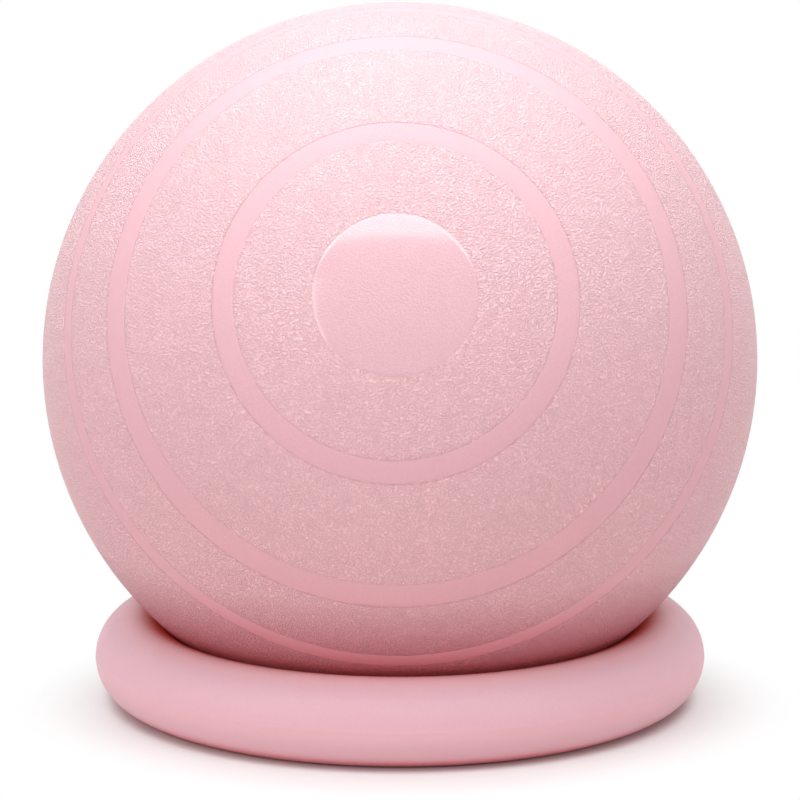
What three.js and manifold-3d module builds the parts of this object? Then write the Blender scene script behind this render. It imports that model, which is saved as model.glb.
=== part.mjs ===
// A balance ball chair: an inflated exercise ball that sits in an inflated floor ring.
// Millimetres, +Z up. The origin is on the floor under the ball's centre, and the front is -Y.
// Each bladder is a thin vinyl skin. A valve seat is welded in a hole of each skin, at the back,
// and a push-in plug closes it.
import * as THREE from "three";
import { mergeVertices } from "three/addons/utils/BufferGeometryUtils.js";
import Module from "manifold-3d";

const wasm = await Module();
wasm.setup();

// Ball
const BALL_DIAMETER = 650;
const BALL_WALL = 1.0;
const BALL_FOOT_BLEND_RADIUS = 150; // rounds the skin into the flat that it presses on the floor
const POLE_LIFT_DEG = 21.7; // how far the axis of the band pattern points up, at the front
const POLE_TURN_DEG = 0.8; // and how far to the left
const BAND_HEIGHT = 0.6; // smooth moulded bands stand proud of the grained skin
const BAND_SHOULDER = 1.5;
// From the pole outwards: the smooth disc, then three smooth bands. The back has the same.
const BAND_EDGES_DEG = [
  [0, 12.7],
  [25.4, 29.1],
  [46.9, 51.3],
  [62.9, 65.8],
];

// Ring
const RING_DIAMETER = 560;
const RING_TUBE_DIAMETER = 79;
const RING_WALL = 1.1;
const RING_FOOT_DEPTH = 0.7; // the tube's underside is pressed flat this deep
const RING_VALVE_LIFT_DEG = 25; // the valve sits this far above the tube's outer seam

// Plug, the same in both bladders
const PLUG_HEAD_DIAMETER = 19;
const PLUG_HEAD_THICKNESS = 2.4;
const PLUG_HEAD_CROWN = 0.5;
const PLUG_HEAD_ROUNDING = 0.6;
const PLUG_STEM_DIAMETER = 8.4;
const PLUG_TIP_DIAMETER = 6.6;
const PLUG_STEM_LENGTH = 17;
const PLUG_BARB_HEIGHT = 0.5;
const PLUG_BARB_COUNT = 3;
const PLUG_CORE_DIAMETER = 3.4; // moulded hollow, open at the tip, that lets the stem squeeze
const PLUG_CORE_DEPTH = 12;

// Valve seat
const SEAT_LIP_WIDTH = 3;
const SEAT_FLOOR_THICKNESS = 2;
const SEAT_SLEEVE_WALL = 3;
const SEAT_SLEEVE_LENGTH = 12;
const SEAT_FLANGE_REACH = 6;
const SEAT_FLANGE_THICKNESS = 1.6;

// Fits
const CLEARANCE = 0.3; // between pieces that touch
const BORE_CLEARANCE = 0.2; // around the plug's barbs
const CUT_OVERRUN = 5;

// Faces round each revolved piece
const BALL_SEGMENTS = 48;
const RING_SEGMENTS = 60;
const TUBE_SEGMENTS = 17;
const VALVE_SEGMENTS = 20;
const LATITUDE_STEP_DEG = 7.5;

const VINYL = { color: 0xeec2cb, roughness: 0.5, metalness: 0 };
const RING_VINYL = { color: 0xe9bbc8, roughness: 0.55, metalness: 0 };
const SEAT_VINYL = { color: 0xe6b4c0, roughness: 0.6, metalness: 0 };
const PLUG_VINYL = { color: 0xf3eeee, roughness: 0.45, metalness: 0 };

// Sizes that follow from those above
const ballRadius = BALL_DIAMETER / 2;
const tubeRadius = RING_TUBE_DIAMETER / 2;
const tubeCircleRadius = RING_DIAMETER / 2 - tubeRadius;
const tubeHeight = tubeRadius - RING_FOOT_DEPTH;
// The ball's bands rest on the tube all round, so this is how high its centre comes.
const contactSpan = ballRadius + BAND_HEIGHT + tubeRadius + CLEARANCE;
const ballHeight = tubeHeight + Math.sqrt(contactSpan ** 2 - tubeCircleRadius ** 2);
const plugHeadRadius = PLUG_HEAD_DIAMETER / 2;
const recessRadius = plugHeadRadius + CLEARANCE;
const recessDepth = PLUG_HEAD_THICKNESS + PLUG_HEAD_CROWN + CLEARANCE;
const boreRadius = PLUG_STEM_DIAMETER / 2 + PLUG_BARB_HEIGHT + BORE_CLEARANCE;
const lipRadius = recessRadius + SEAT_LIP_WIDTH;
const flangeRadius = lipRadius + SEAT_FLANGE_REACH;

const rad = THREE.MathUtils.degToRad;
const deg = THREE.MathUtils.radToDeg;

// A closed geometry as a solid that can be cut and joined.
function solidOf(geometry) {
  const bare = geometry.clone();
  bare.deleteAttribute("normal");
  bare.deleteAttribute("uv");
  const merged = mergeVertices(bare);
  const corners = Array.from(merged.index.array);
  const triVerts = [];
  for (let i = 0; i < corners.length; i += 3) {
    const [a, b, c] = corners.slice(i, i + 3);
    if (a !== b && b !== c && c !== a) triVerts.push(a, b, c);
  }
  return new wasm.Manifold(
    new wasm.Mesh({
      numProp: 3,
      vertProperties: merged.attributes.position.array,
      triVerts: new Uint32Array(triVerts),
    }),
  );
}

// A solid back as a geometry with flat faces.
function geometryOf(solid) {
  const mesh = solid.getMesh();
  const indexed = new THREE.BufferGeometry();
  indexed.setAttribute("position", new THREE.BufferAttribute(mesh.vertProperties, 3));
  indexed.setIndex(new THREE.BufferAttribute(mesh.triVerts, 1));
  const flat = indexed.toNonIndexed();
  flat.computeVertexNormals();
  return flat;
}

// A profile of [radius, height] points, revolved about +Z.
function revolved(profile, segments) {
  const points = profile.map(([radius, height]) => new THREE.Vector2(radius, height));
  return new THREE.LatheGeometry(points, segments).rotateX(Math.PI / 2);
}

function post(radius, low, high) {
  const profile = [[0, low], [radius, low], [radius, high], [0, high]];
  return solidOf(revolved(profile, VALVE_SEGMENTS));
}

function named(name, geometry, look) {
  const mesh = new THREE.Mesh(geometry, new THREE.MeshStandardMaterial(look));
  mesh.name = name;
  return mesh;
}

// BALL

// How far the settled skin is from the ball's centre, at an angle from straight down. The lowest
// part is pressed flat on the floor, and an arc blends it into the sphere.
function settledRadius(angle, inset) {
  if (ballHeight >= ballRadius) return ballRadius - inset;
  const drop = ballHeight - BALL_FOOT_BLEND_RADIUS;
  const arm = ballRadius - BALL_FOOT_BLEND_RADIUS;
  const out = Math.sqrt(arm ** 2 - drop ** 2);
  if (angle >= Math.atan2(out, drop)) return ballRadius - inset;
  if (angle <= Math.atan2(out, ballHeight - inset)) return (ballHeight - inset) / Math.cos(angle);
  const along = out * Math.sin(angle) + drop * Math.cos(angle);
  const blend = BALL_FOOT_BLEND_RADIUS - inset;
  return along + Math.sqrt(along ** 2 - arm ** 2 + blend ** 2);
}

// Latitudes of the ball from the front pole to the back one, each with the height of its bands
// there. The shoulder rows are left out where there is no relief.
function latitudes(relief) {
  const shoulder = deg(BAND_SHOULDER / ballRadius);
  const front = [];
  for (const [from, to] of BAND_EDGES_DEG) {
    if (relief > 0 && from > 0) front.push([from - shoulder, 0]);
    front.push([from, relief], [to, relief]);
    if (relief > 0) front.push([to + shoulder, 0]);
  }
  const back = front.map(([angle, height]) => [180 - angle, height]).reverse();
  const rows = [front[0]];
  for (const [angle, height] of [...front.slice(1), ...back]) {
    const [lastAngle, lastHeight] = rows.at(-1);
    const count = Math.ceil((angle - lastAngle) / LATITUDE_STEP_DEG);
    for (let i = 1; i <= count; i++) {
      const share = i / count;
      rows.push([lastAngle + (angle - lastAngle) * share, lastHeight + (height - lastHeight) * share]);
    }
  }
  return rows;
}

const poleTurn = new THREE.Quaternion().setFromEuler(
  new THREE.Euler(rad(90 - POLE_LIFT_DEG), 0, -rad(POLE_TURN_DEG), "ZYX"),
);

// The ball's surface, inset by part of the wall, as a closed solid round the ball's centre.
// Only the outer surface has the bands.
function ballSolid(inset) {
  const relief = inset > 0 ? 0 : BAND_HEIGHT;
  const profile = latitudes(relief).map(([angle, height]) => {
    const radius = ballRadius - inset + height;
    return [radius * Math.sin(rad(angle)), radius * Math.cos(rad(angle))];
  });
  const geometry = revolved(profile.reverse(), BALL_SEGMENTS).applyQuaternion(poleTurn);
  const places = geometry.attributes.position;
  const place = new THREE.Vector3();
  for (let i = 0; i < places.count; i++) {
    place.fromBufferAttribute(places, i);
    const angle = Math.acos(-place.z / place.length());
    place.multiplyScalar(settledRadius(angle, inset) / (ballRadius - inset));
    place.z = Math.max(place.z, inset - ballHeight);
    places.setXYZ(i, place.x, place.y, place.z);
  }
  return solidOf(geometry);
}

// RING

// The ring's surface, inset by part of the wall, as a closed solid. The tube is round, apart from
// the flat that it stands on.
function ringSolid(inset) {
  const radius = tubeRadius - inset;
  const flat = Math.acos((tubeHeight - inset) / radius);
  const turn = 2 * (Math.PI - flat);
  const profile = [];
  for (let i = 0; i <= TUBE_SEGMENTS; i++) {
    const angle = flat + (turn * i) / TUBE_SEGMENTS;
    profile.push([
      tubeCircleRadius + radius * Math.sin(angle),
      tubeHeight - radius * Math.cos(angle),
    ]);
  }
  profile.push(profile[0]);
  return solidOf(revolved(profile, RING_SEGMENTS));
}

// VALVE, the same in both bladders, with +Z straight out of the skin and its zero on the skin

// A flat mushroom head on a tapered stem with barbs that grip the seat's bore.
function plugGeometry() {
  const head = -PLUG_HEAD_CROWN - PLUG_HEAD_THICKNESS;
  const tip = head - PLUG_STEM_LENGTH;
  const coreRadius = PLUG_CORE_DIAMETER / 2;
  const tipRadius = PLUG_TIP_DIAMETER / 2;
  const stemRadius = PLUG_STEM_DIAMETER / 2;
  const profile = [
    [0, tip + PLUG_CORE_DEPTH],
    [coreRadius, tip + PLUG_CORE_DEPTH],
    [coreRadius, tip],
    [tipRadius, tip],
  ];
  const pitch = PLUG_STEM_LENGTH / (PLUG_BARB_COUNT + 1);
  for (let i = 1; i <= PLUG_BARB_COUNT; i++) {
    const height = tip + pitch * i;
    const share = i / (PLUG_BARB_COUNT + 1);
    const root = tipRadius + (stemRadius - tipRadius) * share;
    profile.push([root, height - pitch / 2]);
    profile.push([root + PLUG_BARB_HEIGHT, height]);
    profile.push([root, height]);
  }
  profile.push([stemRadius, head]);
  profile.push([plugHeadRadius - PLUG_HEAD_ROUNDING, head]);
  profile.push([plugHeadRadius, head + PLUG_HEAD_ROUNDING]);
  profile.push([plugHeadRadius, -PLUG_HEAD_CROWN - PLUG_HEAD_ROUNDING]);
  profile.push([plugHeadRadius - PLUG_HEAD_ROUNDING, -PLUG_HEAD_CROWN]);
  profile.push([0, 0]);
  return revolved(profile, VALVE_SEGMENTS);
}

// The seat's lip fills the hole in the skin and holds the recess for the plug's head. Its flange
// follows the skin's inside, and its sleeve reaches in round the bore.
function seatSolid(skin, frame) {
  const inFrame = (inset) => skin.surface(inset).transform(frame.clone().invert().elements);
  const flangeTop = skin.wall + CLEARANCE;
  const floor = -recessDepth - SEAT_FLOOR_THICKNESS;
  const lip = post(lipRadius, floor, CUT_OVERRUN).intersect(inFrame(0));
  const flange = post(flangeRadius, -flangeRadius, CUT_OVERRUN)
    .intersect(inFrame(flangeTop))
    .subtract(inFrame(flangeTop + SEAT_FLANGE_THICKNESS));
  const sleeve = post(boreRadius + SEAT_SLEEVE_WALL, floor - SEAT_SLEEVE_LENGTH, floor);
  const recess = post(recessRadius, -recessDepth, CUT_OVERRUN);
  const bore = post(boreRadius, floor - SEAT_SLEEVE_LENGTH - CUT_OVERRUN, CUT_OVERRUN);
  return lip.add(flange).add(sleeve).subtract(recess).subtract(bore);
}

// A skin with its hollow and the hole for the valve seat.
function skinSolid(skin, frame) {
  const hole = post(lipRadius + CLEARANCE, -flangeRadius, CUT_OVERRUN).transform(frame.elements);
  return skin.surface(0).subtract(skin.surface(skin.wall)).subtract(hole);
}

// A bladder is its skin, with the seat and the plug in a group at the valve.
function bladder(skin) {
  const outward = skin.valveDirection;
  const facing = new THREE.Quaternion().setFromUnitVectors(new THREE.Vector3(0, 0, 1), outward);
  const frame = new THREE.Matrix4().makeRotationFromQuaternion(facing).setPosition(skin.valvePlace);
  const valve = new THREE.Group();
  valve.position.copy(skin.valvePlace);
  valve.quaternion.copy(facing);
  valve.add(named(`${skin.name}_valve_seat`, geometryOf(seatSolid(skin, frame)), SEAT_VINYL));
  valve.add(named(`${skin.name}_plug`, plugGeometry(), PLUG_VINYL));
  const whole = new THREE.Group();
  whole.add(named(`${skin.name}_skin`, geometryOf(skinSolid(skin, frame)), skin.look));
  whole.add(valve);
  return whole;
}

// The ball's valve is in the middle of its back disc.
const backPole = new THREE.Vector3(0, 0, -1).applyQuaternion(poleTurn);
const ball = bladder({
  name: "ball",
  look: VINYL,
  wall: BALL_WALL,
  surface: ballSolid,
  valveDirection: backPole,
  valvePlace: backPole.clone().multiplyScalar(ballRadius + BAND_HEIGHT),
});
ball.position.z = ballHeight;

// The ring's valve is at the back of the tube, just above its seam.
const valveLift = rad(RING_VALVE_LIFT_DEG);
const ringOut = new THREE.Vector3(0, Math.cos(valveLift), Math.sin(valveLift));
const ring = bladder({
  name: "ring",
  look: RING_VINYL,
  wall: RING_WALL,
  surface: ringSolid,
  valveDirection: ringOut,
  valvePlace: new THREE.Vector3(0, tubeCircleRadius, tubeHeight).addScaledVector(ringOut, tubeRadius),
});

const chair = new THREE.Group();
chair.add(ring, ball);
export default chair;
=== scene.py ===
"""A balance ball chair: a pink exercise ball that sits in an inflated floor ring."""

import math

import bmesh
import bpy
from mathutils import Euler, Matrix, Vector


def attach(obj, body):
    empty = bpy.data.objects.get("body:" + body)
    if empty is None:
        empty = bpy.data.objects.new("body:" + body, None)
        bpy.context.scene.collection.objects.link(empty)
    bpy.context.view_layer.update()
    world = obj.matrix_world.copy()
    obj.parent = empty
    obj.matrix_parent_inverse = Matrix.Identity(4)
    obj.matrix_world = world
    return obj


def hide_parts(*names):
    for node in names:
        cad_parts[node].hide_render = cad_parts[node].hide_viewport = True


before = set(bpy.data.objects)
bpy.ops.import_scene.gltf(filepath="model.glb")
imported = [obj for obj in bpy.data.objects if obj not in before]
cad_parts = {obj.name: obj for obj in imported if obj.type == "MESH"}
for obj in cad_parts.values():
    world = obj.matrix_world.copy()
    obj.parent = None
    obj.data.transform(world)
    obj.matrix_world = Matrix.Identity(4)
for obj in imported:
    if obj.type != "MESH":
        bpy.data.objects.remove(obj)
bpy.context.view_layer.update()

# Ball skin
# The ball is one vinyl skin, about a millimetre thick, moulded with a pebble grain. Smooth bands
# and a smooth disc at each pole stand a little proud of it. Its own weight and the ring hold it,
# and its foot is pressed flat on the floor.

up = Vector((0, 0, 1))
touch_clearance = 0.0003
ball_radius = 0.325
ball_wall = 0.001
ball_foot_blend = 0.150
band_height = 0.0006

# The ring's sizes are needed here, because the ball rests on its tube all round.
tube_radius = 0.0395
ring_outer_radius = 0.280
ring_radius = ring_outer_radius - tube_radius
ring_foot_depth = 0.0007
tube_height = tube_radius - ring_foot_depth
contact_span = ball_radius + band_height + tube_radius + touch_clearance
ball_height = tube_height + math.sqrt(contact_span**2 - ring_radius**2)
ball_centre = Vector((0, 0, ball_height))

# The band pattern's axis points up and a little to the left at the front. In degrees.
pole_lift = 21.7
pole_swing = 0.8
pole_turn = Euler((math.radians(90 - pole_lift), 0, math.radians(-pole_swing))).to_matrix().to_4x4()
ball_place = Matrix.Translation(ball_centre) @ pole_turn

# Band edges from either pole, in degrees. The first band is the disc at the pole.
bands = ((0, 12.7), (25.4, 29.1), (46.9, 51.3), (62.9, 65.8))
band_rise = 0.0003
crease_width = 0.0016
crease_line_share = 0.6
crease_depth = 0.00008
shoulder_width = 0.0026
valve_hole_radius = 0.0131

ball_segments = 192
ball_rows = 120
weld_distance = 1e-6

# The vinyl where it is duller and fresher. Then painted shade in the grain's pits, whose colour
# also gives the smooth bands their darker tone, painted shade in the creases, and painted shade in
# deep pink close to the ring, standing in for the light that comes off other pink vinyl there.
ball_dull = (0.815, 0.545, 0.58)
ball_fresh = (0.825, 0.555, 0.59)
painted_pit_shade_and_band_tone = (0.57, 0.34, 0.38)
painted_crease_shade = (0.52, 0.22, 0.26)
painted_gap_shade_deep = (0.66, 0.19, 0.225)
painted_gap_shade_edge = (0.52, 0.20, 0.23)

speck_scale = 1100
grain_scale = 620
grain_depth = 0.0012
painted_pit_shade_strength = 0.34
painted_crease_shade_strength = 0.4
edge_softness = 0.0007

# How far round a point its openness is looked for, and how open it is in the gap by the ring,
# for the painted shade and painted light there.
room_reach = 0.16
room_rays = 8
gap_closed = 0.2
gap_openness = 0.45
gap_curve = 1.6

# The disc at each pole has a little grain left, and a thin gloss over it.
disc_grain = 0.25
disc_smoothing = 0.16
disc_coat = 0.95

# A Noise Texture's value is mostly between these.
noise_low = 0.3
noise_high = 0.7


def edge_rise(inside, height):
    """Height of the skin by the distance inside a band's edge, which is negative outside it."""
    if inside <= -crease_width:
        return 0
    if inside < 0:
        return -crease_depth * math.sin(math.pi * -inside / crease_width) ** 2
    share = min(inside / shoulder_width, 1)
    return height * share * share * (3 - 2 * share)


def skin_rise(angle):
    """Height of the bands at an angle from the front pole, in radians.

    The back disc stands higher than the rest, level with the lip of the valve in its middle.
    """
    near = min(angle, math.pi - angle)
    disc_rise = band_rise if angle < math.pi / 2 else band_height
    rise = 0
    for start, end in bands:
        from_start = (near - math.radians(start)) * ball_radius
        from_end = (math.radians(end) - near) * ball_radius
        if start > 0:
            rise += edge_rise(min(from_start, from_end), band_rise)
        else:
            rise += edge_rise(from_end, disc_rise)
    return rise


def settled_radius(down_angle):
    """Distance from the ball's centre to its skin, at an angle from straight down."""
    drop = ball_height - ball_foot_blend
    arm = ball_radius - ball_foot_blend
    out = math.sqrt(arm**2 - drop**2)
    if down_angle >= math.atan2(out, drop):
        return ball_radius
    if down_angle <= math.atan2(out, ball_height):
        return ball_height / math.cos(down_angle)
    along = out * math.sin(down_angle) + drop * math.cos(down_angle)
    return along + math.sqrt(along**2 - arm**2 + ball_foot_blend**2)


def cut(bm, geometry, place, direction, reach=weld_distance, **options):
    """New edges where a plane cuts part of a mesh."""
    bmesh.ops.bisect_plane(
        bm, geom=geometry, dist=reach, plane_co=place, plane_no=direction, **options
    )


def whole(bm):
    """All of a mesh."""
    return bm.verts[:] + bm.edges[:] + bm.faces[:]


def finished(name, bm, material, body, node):
    """A mesh as a smooth piece that rides on a body and stands for a CAD node."""
    mesh = bpy.data.meshes.new(name)
    bmesh.ops.remove_doubles(bm, verts=bm.verts, dist=weld_distance)
    bmesh.ops.recalc_face_normals(bm, faces=bm.faces)
    bm.to_mesh(mesh)
    bm.free()
    mesh.materials.append(material)
    mesh.shade_smooth()
    piece = bpy.data.objects.new(name, mesh)
    bpy.context.scene.collection.objects.link(piece)
    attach(piece, body)
    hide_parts(node)
    return piece


def give_wall(piece, thickness):
    """The skin's wall, on the inside."""
    wall = piece.modifiers.new("wall", "SOLIDIFY")
    wall.thickness = thickness
    wall.offset = -1
    wall.use_even_offset = True


def new_material(name):
    """A material with nodes, its node tree and its shader."""
    material = bpy.data.materials.new(name)
    material.use_nodes = True
    tree = material.node_tree
    return material, tree, tree.nodes["Principled BSDF"]


def new_group(name, numbers, results):
    """A shader node group that takes a place and some numbers, with its input and output nodes."""
    group = bpy.data.node_groups.new(name, "ShaderNodeTree")
    group.interface.new_socket("Vector", in_out="INPUT", socket_type="NodeSocketVector")
    for label in numbers:
        group.interface.new_socket(label, in_out="INPUT", socket_type="NodeSocketFloat")
    for label in results:
        group.interface.new_socket(label, in_out="OUTPUT", socket_type="NodeSocketFloat")
    return group, group.nodes.new("NodeGroupInput"), group.nodes.new("NodeGroupOutput")


def place_group(tree, group, vector, **numbers):
    """A node group in a material, with the material's own numbers."""
    node = tree.nodes.new("ShaderNodeGroup")
    node.node_tree = group
    tree.links.new(vector, node.inputs["Vector"])
    for label, number in numbers.items():
        node.inputs[label].default_value = number
    return node.outputs


def math_node(tree, operation, *values):
    """A Math node. Each value is a number or a socket."""
    node = tree.nodes.new("ShaderNodeMath")
    node.operation = operation
    for socket, value in zip(node.inputs, values):
        if isinstance(value, (int, float)):
            socket.default_value = value
        else:
            tree.links.new(value, socket)
    return node.outputs[0]


def ramp(tree, value, low, high, to_low=0, to_high=1):
    """A smooth step of a value between two limits. Each limit of the result may be a socket."""
    node = tree.nodes.new("ShaderNodeMapRange")
    node.interpolation_type = "SMOOTHSTEP"
    tree.links.new(value, node.inputs["Value"])
    limits = (("From Min", low), ("From Max", high), ("To Min", to_low), ("To Max", to_high))
    for label, limit in limits:
        if isinstance(limit, (int, float)):
            node.inputs[label].default_value = limit
        else:
            tree.links.new(limit, node.inputs[label])
    return node.outputs["Result"]


def blend_colours(tree, factor, first, second):
    """A Mix node for two colours, each a colour or a socket."""
    node = tree.nodes.new("ShaderNodeMix")
    node.data_type = "RGBA"
    tree.links.new(factor, node.inputs["Factor"])
    for socket, value in ((node.inputs["A"], first), (node.inputs["B"], second)):
        if isinstance(value, tuple):
            socket.default_value = (*value, 1)
        else:
            tree.links.new(value, socket)
    return node.outputs["Result"]


def give_bump(tree, shader, height, distance):
    """A fine relief in a material."""
    bump = tree.nodes.new("ShaderNodeBump")
    bump.inputs["Distance"].default_value = distance
    tree.links.new(height, bump.inputs["Height"])
    tree.links.new(bump.outputs["Normal"], shader.inputs["Normal"])


def openness(tree, reach):
    """How much of the air round a point is open, within a reach."""
    node = tree.nodes.new("ShaderNodeAmbientOcclusion")
    node.inputs["Distance"].default_value = reach
    node.samples = room_rays
    return node.outputs["AO"]


def uneven_vinyl():
    """A value that wanders between two limits over a surface, for tone, specks and gloss."""
    group, given, out = new_group("Uneven vinyl", ("Scale", "Detail", "Low", "High"), ("Value",))
    texture = group.nodes.new("ShaderNodeTexNoise")
    for label in ("Vector", "Scale", "Detail"):
        group.links.new(given.outputs[label], texture.inputs[label])
    low, high = given.outputs["Low"], given.outputs["High"]
    value = ramp(group, texture.outputs["Fac"], noise_low, noise_high, low, high)
    group.links.new(value, out.inputs["Value"])
    return group


def band_pattern():
    """Masks of the ball's bands, of the creases at their edges, which take painted shade, and of
    the disc at each pole.
    """
    group, given, out = new_group("Ball bands", (), ("Smooth", "Crease", "Disc"))
    length = group.nodes.new("ShaderNodeVectorMath")
    length.operation = "LENGTH"
    group.links.new(given.outputs["Vector"], length.inputs[0])
    parts = group.nodes.new("ShaderNodeSeparateXYZ")
    group.links.new(given.outputs["Vector"], parts.inputs[0])
    height = math_node(group, "ABSOLUTE", parts.outputs["Z"])
    cosine = math_node(group, "DIVIDE", height, length.outputs["Value"])
    from_pole = math_node(group, "ARCCOSINE", math_node(group, "MINIMUM", cosine, 1.0))
    soft = edge_softness / ball_radius
    line_width = crease_line_share * crease_width / ball_radius
    # How strongly painted shade darkens the creases at the inner edges, the outer edges and the
    # disc's edge.
    inner_crease, outer_crease, disc_crease = 0.25, 1.0, 0.15
    smooth, crease, disc = 0.0, 0.0, None
    for start, end in bands:
        inner, outer = math.radians(start), math.radians(end)
        mask = ramp(group, from_pole, outer - soft, outer + soft, 1, 0)
        if start > 0:
            beyond = ramp(group, from_pole, inner - soft, inner + soft)
            mask = math_node(group, "MULTIPLY", mask, beyond)
            edges = ((inner, -1, inner_crease), (outer, 1, outer_crease))
        else:
            disc = mask
            edges = ((outer, 1, disc_crease),)
        smooth = math_node(group, "ADD", mask, smooth)
        for edge, side, strength in edges:
            middle = edge + side * crease_width / 2 / ball_radius
            away = math_node(group, "ABSOLUTE", math_node(group, "SUBTRACT", from_pole, middle))
            line = ramp(group, away, 0, line_width, strength, 0)
            crease = math_node(group, "ADD", line, crease)
    group.links.new(smooth, out.inputs["Smooth"])
    group.links.new(crease, out.inputs["Crease"])
    group.links.new(disc, out.inputs["Disc"])
    return group


def pebble_grain():
    """The height of a moulded pebble grain: short wavy ridges a few millimetres long."""
    group, given, out = new_group("Pebble grain", ("Scale",), ("Height",))
    ridges = group.nodes.new("ShaderNodeTexNoise")
    group.links.new(given.outputs["Vector"], ridges.inputs["Vector"])
    group.links.new(given.outputs["Scale"], ridges.inputs["Scale"])
    ridges.inputs["Detail"].default_value = 0.0
    ridges.inputs["Distortion"].default_value = 0.8
    height = ramp(group, ridges.outputs["Fac"], noise_low, noise_high)
    group.links.new(height, out.inputs["Height"])
    return group


uneven_group = uneven_vinyl()
bands_group = band_pattern()
grain_group = pebble_grain()


def uneven(tree, vector, scale, detail=2, low=0, high=1):
    """The uneven value in a material, between low and high."""
    numbers = {"Scale": scale, "Detail": detail, "Low": low, "High": high}
    return place_group(tree, uneven_group, vector, **numbers)["Value"]


def ball_vinyl():
    """Pale pink vinyl: grained zones between smooth bands, with painted shade in the pits, the
    creases and the gap.
    """
    material, tree, shader = new_material("ball vinyl")
    to_ball = tree.nodes.new("ShaderNodeMapping")
    to_ball.vector_type = "TEXTURE"
    to_ball.inputs["Location"].default_value = ball_centre
    to_ball.inputs["Rotation"].default_value = pole_turn.to_euler()
    place = tree.nodes.new("ShaderNodeTexCoord").outputs["Object"]
    tree.links.new(place, to_ball.inputs["Vector"])
    on_ball = to_ball.outputs["Vector"]
    masks = place_group(tree, bands_group, on_ball)
    smooth, disc = masks["Smooth"], masks["Disc"]
    ridges = place_group(tree, grain_group, on_ball, Scale=grain_scale)["Height"]
    grained = math_node(tree, "SUBTRACT", 1.0, smooth)

    vinyl = blend_colours(tree, uneven(tree, on_ball, scale=7, detail=3), ball_dull, ball_fresh)
    # Painted shade in the grain's pits. The same colour gives the bands their darker tone.
    painted_pit_shade_share = ramp(tree, ridges, 0, 1, painted_pit_shade_strength, 0)
    specks = uneven(tree, on_ball, speck_scale, detail=1, low=0.91, high=0.71)
    grained_painted_pit_shade = math_node(tree, "MULTIPLY", painted_pit_shade_share, grained)
    band_specks = math_node(tree, "MULTIPLY", specks, smooth)
    vinyl = blend_colours(tree, math_node(tree, "ADD", grained_painted_pit_shade, band_specks), vinyl, painted_pit_shade_and_band_tone)
    # Painted shade in the creases at the bands' edges.
    painted_crease_share = math_node(tree, "MULTIPLY", masks["Crease"], painted_crease_shade_strength)
    vinyl = blend_colours(tree, painted_crease_share, vinyl, painted_crease_shade)
    # Painted shade near the ring: deep pink where the air round the ball is closed in.
    room = openness(tree, room_reach)
    out_of_gap = ramp(tree, room, gap_closed, gap_openness)
    painted_gap_colour = blend_colours(tree, out_of_gap, painted_gap_shade_deep, painted_gap_shade_edge)
    beyond_gap = math_node(tree, "SUBTRACT", room, gap_openness)
    lit = math_node(tree, "DIVIDE", beyond_gap, 1 - gap_openness)
    lit = math_node(tree, "POWER", math_node(tree, "MAXIMUM", lit, 0.0), gap_curve)
    tree.links.new(blend_colours(tree, lit, painted_gap_colour, vinyl), shader.inputs["Base Color"])

    rough = ramp(tree, smooth, 0, 1, to_low=0.38, to_high=0.5)
    smoother = math_node(tree, "MULTIPLY", disc, disc_smoothing)
    tree.links.new(math_node(tree, "SUBTRACT", rough, smoother), shader.inputs["Roughness"])
    depth = math_node(tree, "ADD", grained, math_node(tree, "MULTIPLY", disc, disc_grain))
    give_bump(tree, shader, math_node(tree, "MULTIPLY", ridges, depth), grain_depth)
    tree.links.new(math_node(tree, "MULTIPLY", disc, disc_coat), shader.inputs["Coat Weight"])
    shader.inputs["Coat Roughness"].default_value = 0.13
    shader.inputs["Coat IOR"].default_value = 1.7
    shader.inputs["Specular IOR Level"].default_value = 0.12
    return material


def ball_mesh():
    """A sphere about the pole axis, cut along the bands' edges, with its relief and its foot."""
    bm = bmesh.new()
    bmesh.ops.create_uvsphere(
        bm, u_segments=ball_segments, v_segments=ball_rows, radius=ball_radius
    )
    steps = (-crease_width, -crease_width / 2, 0, shoulder_width / 2, shoulder_width)
    for start, end in bands:
        marks = [math.radians(end) - step / ball_radius for step in steps]
        if start > 0:
            marks += [math.radians(start) + step / ball_radius for step in steps]
        for mark in marks:
            for side in (1, -1):
                level = side * ball_radius * math.cos(mark)
                cut(bm, whole(bm), up * level, up)
    hole_level = -math.sqrt(ball_radius**2 - valve_hole_radius**2)
    cut(bm, whole(bm), up * hole_level, -up, clear_outer=True)
    for vertex in bm.verts:
        reach = ball_radius + skin_rise(vertex.co.angle(up))
        outward = pole_turn @ vertex.co.normalized()
        settled = settled_radius(outward.angle(-up)) / ball_radius
        point = outward * reach * settled
        point.z = max(point.z, -ball_height)
        vertex.co = point + ball_centre
    return bm


ball = finished("ball_vinyl_skin", ball_mesh(), ball_vinyl(), "ball", "ball_skin")
give_wall(ball, ball_wall)

# Ring skin
# The ring is a second bladder, a tube in smooth vinyl. It was moulded in two halves, so a fine
# seam runs round it inside and outside. Its underside is pressed flat where it stands.

ring_wall = 0.0011
ring_foot_blend = 0.0008
seam_height = 0.00018
seam_width = 0.0012
ring_segments = 192
tube_segments = 72

# The ring's valve is at the back, a little above the seam.
valve_lift = math.radians(25)
ring_out = Vector((0, math.cos(valve_lift), math.sin(valve_lift)))
ring_valve_place = Vector((0, ring_radius, tube_height)) + ring_out * tube_radius
ring_valve_turn = up.rotation_difference(ring_out).to_matrix().to_4x4()
ring_valve_frame = Matrix.Translation(ring_valve_place) @ ring_valve_turn

# The faces round the valve are cut this fine, so that its hole comes out round.
valve_cut_step = 0.0026
valve_cut_count = 7
valve_cut_reach = 1e-5

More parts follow.
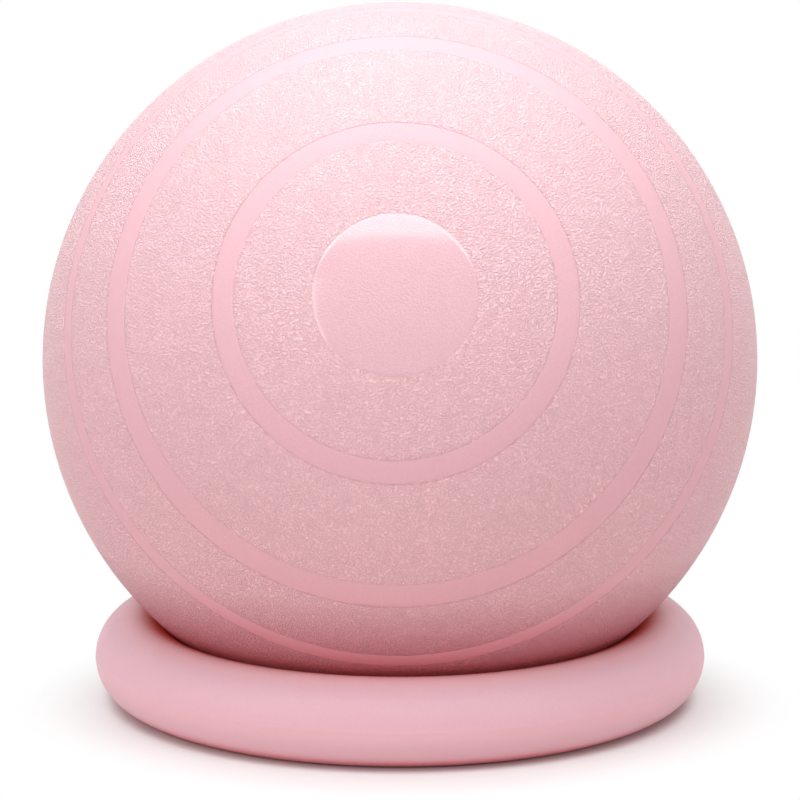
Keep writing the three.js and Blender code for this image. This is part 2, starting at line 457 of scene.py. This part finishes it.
# The vinyl where it is duller and fresher, and its specks. Near the ball it has painted light,
# lighter most of all on its top, and in the gap under the ball a painted orange glow.
ring_dull = (0.625, 0.40, 0.46)
ring_fresh = (0.635, 0.41, 0.47)
ring_speck = (0.55, 0.32, 0.37)
painted_side_light = (0.71, 0.48, 0.53)
painted_top_light = (0.94, 0.58, 0.61)
painted_side_gap_glow = (0.75, 0.25, 0.28)
painted_top_gap_glow = (0.85, 0.12, 0.06)
gap_reach = 0.05
ring_grain_depth = 0.00002


def on_tube(point, radius):
    """The nearest point of the ring's tube to a point, at a radius from the tube's middle."""
    middle = Vector((point.x, point.y, 0)).normalized() * ring_radius + up * tube_height
    return middle + (point - middle).normalized() * radius


def ring_vinyl():
    """Smooth pink vinyl, a little cooler than the ball, with a painted warm glow where the ball is
    near.
    """
    material, tree, shader = new_material("ring vinyl")
    place = tree.nodes.new("ShaderNodeTexCoord").outputs["Object"]
    vinyl = blend_colours(tree, uneven(tree, place, scale=9, detail=3), ring_dull, ring_fresh)
    specks = uneven(tree, place, speck_scale, detail=1, low=0.36, high=0)
    vinyl = blend_colours(tree, specks, vinyl, ring_speck)
    parts = tree.nodes.new("ShaderNodeSeparateXYZ")
    tree.links.new(place, parts.inputs[0])
    # Painted light: lighter where the ball closes the ring in, most of all on its top.
    on_top = ramp(tree, parts.outputs["Z"], low=0.02, high=0.05)
    painted_glow_light = blend_colours(tree, on_top, painted_side_light, painted_top_light)
    clear = ramp(tree, openness(tree, room_reach), low=0.25, high=0.85)
    vinyl = blend_colours(tree, clear, painted_glow_light, vinyl)
    # Painted orange glow in the shade of the gap under the ball.
    painted_gap_colour = blend_colours(tree, on_top, painted_side_gap_glow, painted_top_gap_glow)
    out_of_gap = ramp(tree, openness(tree, gap_reach), low=0.14, high=0.26)
    tree.links.new(blend_colours(tree, out_of_gap, painted_gap_colour, vinyl), shader.inputs["Base Color"])
    worn = uneven(tree, place, scale=60, detail=4, low=0.42, high=0.5)
    tree.links.new(worn, shader.inputs["Roughness"])
    give_bump(tree, shader, uneven(tree, place, scale=900), ring_grain_depth)
    shader.inputs["Specular IOR Level"].default_value = 0.25
    return material


def ring_mesh():
    """A circle spun about the middle, with its seam, its flat underside and the valve's hole."""
    bm = bmesh.new()
    section = bmesh.ops.create_circle(bm, radius=tube_radius, segments=tube_segments)["verts"]
    upright = Matrix.Rotation(math.pi / 2, 3, "X")
    bmesh.ops.rotate(bm, verts=section, cent=(0, 0, 0), matrix=upright)
    bmesh.ops.translate(bm, verts=section, vec=(ring_radius, 0, tube_height))
    bmesh.ops.spin(
        bm, geom=bm.verts[:] + bm.edges[:], cent=(0, 0, 0), axis=up, angle=2 * math.pi,
        steps=ring_segments, use_merge=True,
    )
    for offset in (-seam_width, -seam_width / 2, 0, seam_width / 2, seam_width):
        cut(bm, whole(bm), up * (tube_height + offset), up)
    for vertex in bm.verts:
        offset = abs(vertex.co.z - tube_height)
        if offset < seam_width:
            rise = seam_height * math.cos(math.pi / 2 * offset / seam_width) ** 2
            vertex.co = on_tube(vertex.co, tube_radius + rise)

    # Finer faces round the valve, then its hole
    for count in range(-valve_cut_count, valve_cut_count + 1):
        near = [face for face in bm.faces if face.calc_center_median().y > ring_radius / 2]
        parts = dict.fromkeys(part for face in near for part in (*face.verts, *face.edges))
        cut(bm, [*parts, *near], (count * valve_cut_step, 0, 0), (1, 0, 0), valve_cut_reach)
    to_valve = ring_valve_frame.inverted()

    def from_axis(point):
        local = to_valve @ point
        return math.hypot(local.x, local.y) if local.z > -tube_radius / 2 else tube_radius

    inside = [face for face in bm.faces if from_axis(face.calc_center_median()) < valve_hole_radius]
    bmesh.ops.delete(bm, geom=inside, context="FACES")
    for vertex in bm.verts:
        if vertex.is_boundary:
            local = to_valve @ vertex.co
            local.xy = local.xy.normalized() * valve_hole_radius
            vertex.co = on_tube(ring_valve_frame @ local, tube_radius)

    for vertex in bm.verts:
        if vertex.co.z < ring_foot_blend:
            above = max(vertex.co.z + ring_foot_blend, 0)
            vertex.co.z = above**2 / (4 * ring_foot_blend)
    return bm


ring = finished("ring_vinyl_skin", ring_mesh(), ring_vinyl(), "ring", "ring_skin")
give_wall(ring, ring_wall)

# Valve seats
# Each skin has a moulded insert of stiffer vinyl, welded in its hole. The lip holds a recess for
# the plug's head, a flange lies against the skin's inside, and a sleeve reaches in round the bore.

recess_radius = 0.0098
recess_depth = 0.0032
seat_floor_thickness = 0.002
bore_radius = 0.0049
lip_radius = 0.0128
sleeve_radius = 0.0079
sleeve_length = 0.012
flange_radius = 0.0188
flange_thickness = 0.0016
edge_round = 0.0004
valve_segments = 96

# The fillet between sleeve and flange, as distances out from the sleeve and down from the flange.
flange_fillet = ((0, 0.003), (0.0004, 0.0006), (0.0015, 0))

seat_colour = (0.72, 0.44, 0.48)
seat_roughness = 0.5
dull_share = 0.94
gloss_spread = 0.06
moulding_grain_depth = 0.000015

# The ball's valve is in the middle of its back disc.
back_turn = Matrix.Rotation(math.pi, 4, "X")
ball_valve_frame = ball_place @ back_turn @ Matrix.Translation(up * (ball_radius + band_height))


def spun(profile, segments):
    """A closed solid from points of radius and height, spun about +Z."""
    bm = bmesh.new()
    verts = [bm.verts.new((radius, 0, height)) for radius, height in profile]
    edges = [bm.edges.new(pair) for pair in zip(verts, verts[1:])]
    if profile[0][0] > 0:
        edges.append(bm.edges.new((verts[-1], verts[0])))
    bmesh.ops.spin(
        bm, geom=verts + edges, cent=(0, 0, 0), axis=up, angle=2 * math.pi,
        steps=segments, use_merge=True,
    )
    return bm


def moulded_vinyl(name, colour, rough):
    """Plain moulded vinyl or soft plastic, with a fine uneven gloss."""
    material, tree, shader = new_material(name)
    place = tree.nodes.new("ShaderNodeTexCoord").outputs["Object"]
    dull = tuple(channel * dull_share for channel in colour)
    tone = blend_colours(tree, uneven(tree, place, scale=120, detail=3), dull, colour)
    tree.links.new(tone, shader.inputs["Base Color"])
    low, high = rough - gloss_spread, rough + gloss_spread
    gloss = uneven(tree, place, scale=400, detail=3, low=low, high=high)
    tree.links.new(gloss, shader.inputs["Roughness"])
    give_bump(tree, shader, uneven(tree, place, scale=1600), moulding_grain_depth)
    return material


def seat_mesh(frame_matrix, wall, drop):
    """The insert. drop gives how far the skin falls away from the valve's plane at a point."""
    floor_low = -recess_depth - seat_floor_thickness
    flange_top = -wall - touch_clearance
    flange_low = flange_top - flange_thickness
    foot = floor_low - sleeve_length
    profile = [
        (bore_radius, foot),
        (sleeve_radius, foot),
        *((sleeve_radius + out, flange_low - down) for out, down in flange_fillet),
        (flange_radius - edge_round, flange_low),
        (flange_radius, flange_low + edge_round),
        (flange_radius, flange_top - edge_round),
        (flange_radius - edge_round, flange_top),
        (lip_radius, flange_top),
        (lip_radius, -edge_round),
        (lip_radius - edge_round, 0),
        ((lip_radius + recess_radius) / 2, 0),
        (recess_radius + edge_round, 0),
        (recess_radius, -edge_round),
        (recess_radius, -recess_depth),
        (bore_radius + edge_round, -recess_depth),
        (bore_radius, -recess_depth - edge_round),
    ]
    bm = spun(profile, valve_segments)

    # The lip and the flange follow the skin, and the sleeve, the bore and the recess stay straight.
    for vertex in bm.verts:
        out = math.hypot(vertex.co.x, vertex.co.y)
        beyond_sleeve = out > sleeve_radius + edge_round * 1.5 and vertex.co.z > floor_low
        beyond_recess = out > recess_radius + edge_round / 2
        if beyond_sleeve and (beyond_recess or vertex.co.z > -recess_depth + edge_round):
            vertex.co.z -= drop(vertex.co)
    bm.transform(frame_matrix)
    return bm


def ball_drop(point):
    """How far the ball's skin lies below the valve's plane."""
    return ball_radius - math.sqrt(ball_radius**2 - point.x**2 - point.y**2)


def ring_drop(point):
    """How far the ring's skin lies below the valve's plane."""
    world = ring_valve_frame @ Vector((point.x, point.y, 0))
    return (world - on_tube(world, tube_radius)).length


seat_vinyl = moulded_vinyl("valve seat vinyl", seat_colour, seat_roughness)
for body, valve_frame, wall, drop in (
    ("ball", ball_valve_frame, ball_wall, ball_drop),
    ("ring", ring_valve_frame, ring_wall, ring_drop),
):
    bm = seat_mesh(valve_frame, wall, drop)
    finished(f"{body}_valve_insert", bm, seat_vinyl, body, f"{body}_valve_seat")

# Plugs
# The same push-in plug closes both bladders: a low mushroom head with a turned-over rim, on a
# tapered stem with barbs. It is moulded in soft off-white plastic and pulled out with a lever.

head_radius = 0.0095
head_thickness = 0.0024
head_crown = 0.0005
stem_radius = 0.0042
stem_length = 0.017
stem_fillet = 0.0006
tip_radius = 0.0033
tip_round = 0.0003
barb_count = 3
barb_height = 0.0005
barb_slope = 0.0004
barb_edge = 0.0001
core_radius = 0.0017
core_depth = 0.012
core_end_share = 0.8
core_end_round = 0.0005
core_mouth_flare = 0.0002
plug_segments = 64

# Points of the head's outline: the edge of its underside, as distances in from the edge and up,
# its rim and the groove inside it, in from the edge and up, and its dish, as radius and height.
underside_edge = ((0.0006, 0), (0.0002, 0.0002), (0, 0.0006))
rim = ((0, -0.0007), (0.0002, -0.0002), (0.0008, 0.0001), (0.0018, 0.0001))
groove = ((0.0022, -0.0002), (0.0028, -0.0002), (0.0032, 0.0002))
dish = ((0.0040, -0.0001), (0.0030, 0), (0.0024, -0.0003), (0.0012, -0.0006), (0, -0.0007))

plug_colour = (0.88, 0.84, 0.83)
plug_roughness = 0.42


def plug_mesh(frame_matrix):
    """The plug, with a dished middle and a groove on its head."""
    head_low = -head_crown - head_thickness
    tip = head_low - stem_length
    core_end = tip + core_depth
    profile = [
        (0, core_end),
        (core_radius * core_end_share, core_end),
        (core_radius, core_end - core_end_round),
        (core_radius, tip + tip_round),
        (core_radius + core_mouth_flare, tip),
        (tip_radius - tip_round, tip),
    ]
    pitch = stem_length / (barb_count + 1)
    for count in range(1, barb_count + 1):
        height = tip + pitch * count
        root = tip_radius + (stem_radius - tip_radius) * count / (barb_count + 1)
        profile += [
            (root, height - pitch / 2),
            (root + barb_height, height - barb_slope),
            (root + barb_height, height - barb_edge),
            (root, height),
        ]
    profile += [(stem_radius, head_low - stem_fillet), (stem_radius + stem_fillet, head_low)]
    profile += [(head_radius - inward, head_low + rise) for inward, rise in underside_edge]
    profile += [(head_radius - inward, -head_crown + rise) for inward, rise in rim + groove]
    profile += dish
    bm = spun(profile, plug_segments)
    bm.transform(frame_matrix)
    return bm


plug_vinyl = moulded_vinyl("plug plastic", plug_colour, plug_roughness)
for body, valve_frame in (("ball", ball_valve_frame), ("ring", ring_valve_frame)):
    bm = plug_mesh(valve_frame)
    finished(f"{body}_stopper", bm, plug_vinyl, f"{body}_plug", f"{body}_plug")

# Studio
# A white floor that fades out to pure white round the object's shadow, a white room, and three
# soft lights: a wide one overhead, a large one from the left and a small one from the right.

picture_width = 800
focal_pixels = 5488
ball_above_middle = 40.5
camera_distance = 5.0
camera_rise = math.radians(11.73)
camera_pitch = camera_rise + math.atan(ball_above_middle / focal_pixels)
sensor_width = 36

camera_data = bpy.data.cameras.new("camera")
camera_data.lens = sensor_width * focal_pixels / picture_width
camera_data.sensor_width = sensor_width
camera_data.clip_end = 100
camera = bpy.data.objects.new("camera", camera_data)
to_camera = Vector((0, -math.cos(camera_rise), math.sin(camera_rise)))
camera.location = ball_centre + camera_distance * to_camera
camera.rotation_euler = (math.pi / 2 - camera_pitch, 0, 0)
bpy.context.scene.collection.objects.link(camera)
bpy.context.scene.camera = camera

floor_size = 30
floor_seen = (0.76, 0.76, 0.76)
floor_bounce = (0.80, 0.63, 0.63)
shadow_middle = (0.005, -0.065, 0)
shadow_reach = 0.24
white_reach = 0.37
room_light = 0.46
seen_white = 1.0


def seen_directly(tree):
    """1 for the rays that show a white background: from the camera, in gloss and through glass."""
    ray = tree.nodes.new("ShaderNodeLightPath").outputs
    indirect = math_node(tree, "MAXIMUM", ray["Is Glossy Ray"], ray["Is Transmission Ray"])
    return math_node(tree, "MAXIMUM", ray["Is Camera Ray"], indirect)


def mix_shaders(tree, factor, first, second):
    """A Mix Shader node."""
    node = tree.nodes.new("ShaderNodeMixShader")
    tree.links.new(factor, node.inputs["Fac"])
    tree.links.new(first, node.inputs[1])
    tree.links.new(second, node.inputs[2])
    return node.outputs["Shader"]


def floor_paint():
    """White paint that keeps the shadow, turns to pure white further out and is open from below."""
    material, tree, shader = new_material("white floor")
    seen = seen_directly(tree)
    tree.links.new(blend_colours(tree, seen, floor_bounce, floor_seen), shader.inputs["Base Color"])
    shader.inputs["Roughness"].default_value = 0.9
    shader.inputs["Specular IOR Level"].default_value = 0.0
    away = tree.nodes.new("ShaderNodeVectorMath")
    away.operation = "DISTANCE"
    tree.links.new(tree.nodes.new("ShaderNodeTexCoord").outputs["Object"], away.inputs[0])
    away.inputs[1].default_value = shadow_middle
    faded = ramp(tree, away.outputs["Value"], shadow_reach, white_reach)
    faded = math_node(tree, "MULTIPLY", faded, seen)
    white = tree.nodes.new("ShaderNodeEmission").outputs["Emission"]
    paint = mix_shaders(tree, faded, shader.outputs["BSDF"], white)
    from_below = tree.nodes.new("ShaderNodeNewGeometry").outputs["Backfacing"]
    nothing = tree.nodes.new("ShaderNodeBsdfTransparent").outputs["BSDF"]
    surface = mix_shaders(tree, from_below, paint, nothing)
    tree.links.new(surface, tree.nodes["Material Output"].inputs["Surface"])
    return material


floor_bm = bmesh.new()
bmesh.ops.create_grid(floor_bm, x_segments=1, y_segments=1, size=floor_size)
floor_mesh = bpy.data.meshes.new("floor")
floor_bm.to_mesh(floor_mesh)
floor_bm.free()
floor_mesh.materials.append(floor_paint())
floor = bpy.data.objects.new("floor", floor_mesh)
bpy.context.scene.collection.objects.link(floor)

world = bpy.data.worlds.new("studio")
bpy.context.scene.world = world
world.use_nodes = True
sky = world.node_tree.nodes["Background"]
sky.inputs["Color"].default_value = (1, 1, 1, 1)
strength = ramp(world.node_tree, seen_directly(world.node_tree), 0, 1, room_light, seen_white)
world.node_tree.links.new(strength, sky.inputs["Strength"])


def soft_light(name, width, height, power, place, aim):
    """A softbox that faces a point."""
    data = bpy.data.lights.new(name, "AREA")
    data.shape = "RECTANGLE"
    data.size = width
    data.size_y = height
    data.energy = power
    light = bpy.data.objects.new(name, data)
    light.location = place
    light.rotation_euler = (Vector(aim) - Vector(place)).to_track_quat("-Z", "Y").to_euler()
    bpy.context.scene.collection.objects.link(light)


soft_light("overhead", width=3.6, height=3.2, power=125, place=(0, -0.3, 2.6), aim=(0, -0.1, 0.3))
soft_light("left", width=4.0, height=3.0, power=77, place=(-4.0, -3.2, 2.2), aim=(0, 0, 0.3))
soft_light("right", width=1.4, height=1.4, power=31, place=(4.2, -2.9, 2.0), aim=(0, 0, 0.3))

bpy.context.scene.view_settings.view_transform = "Standard"
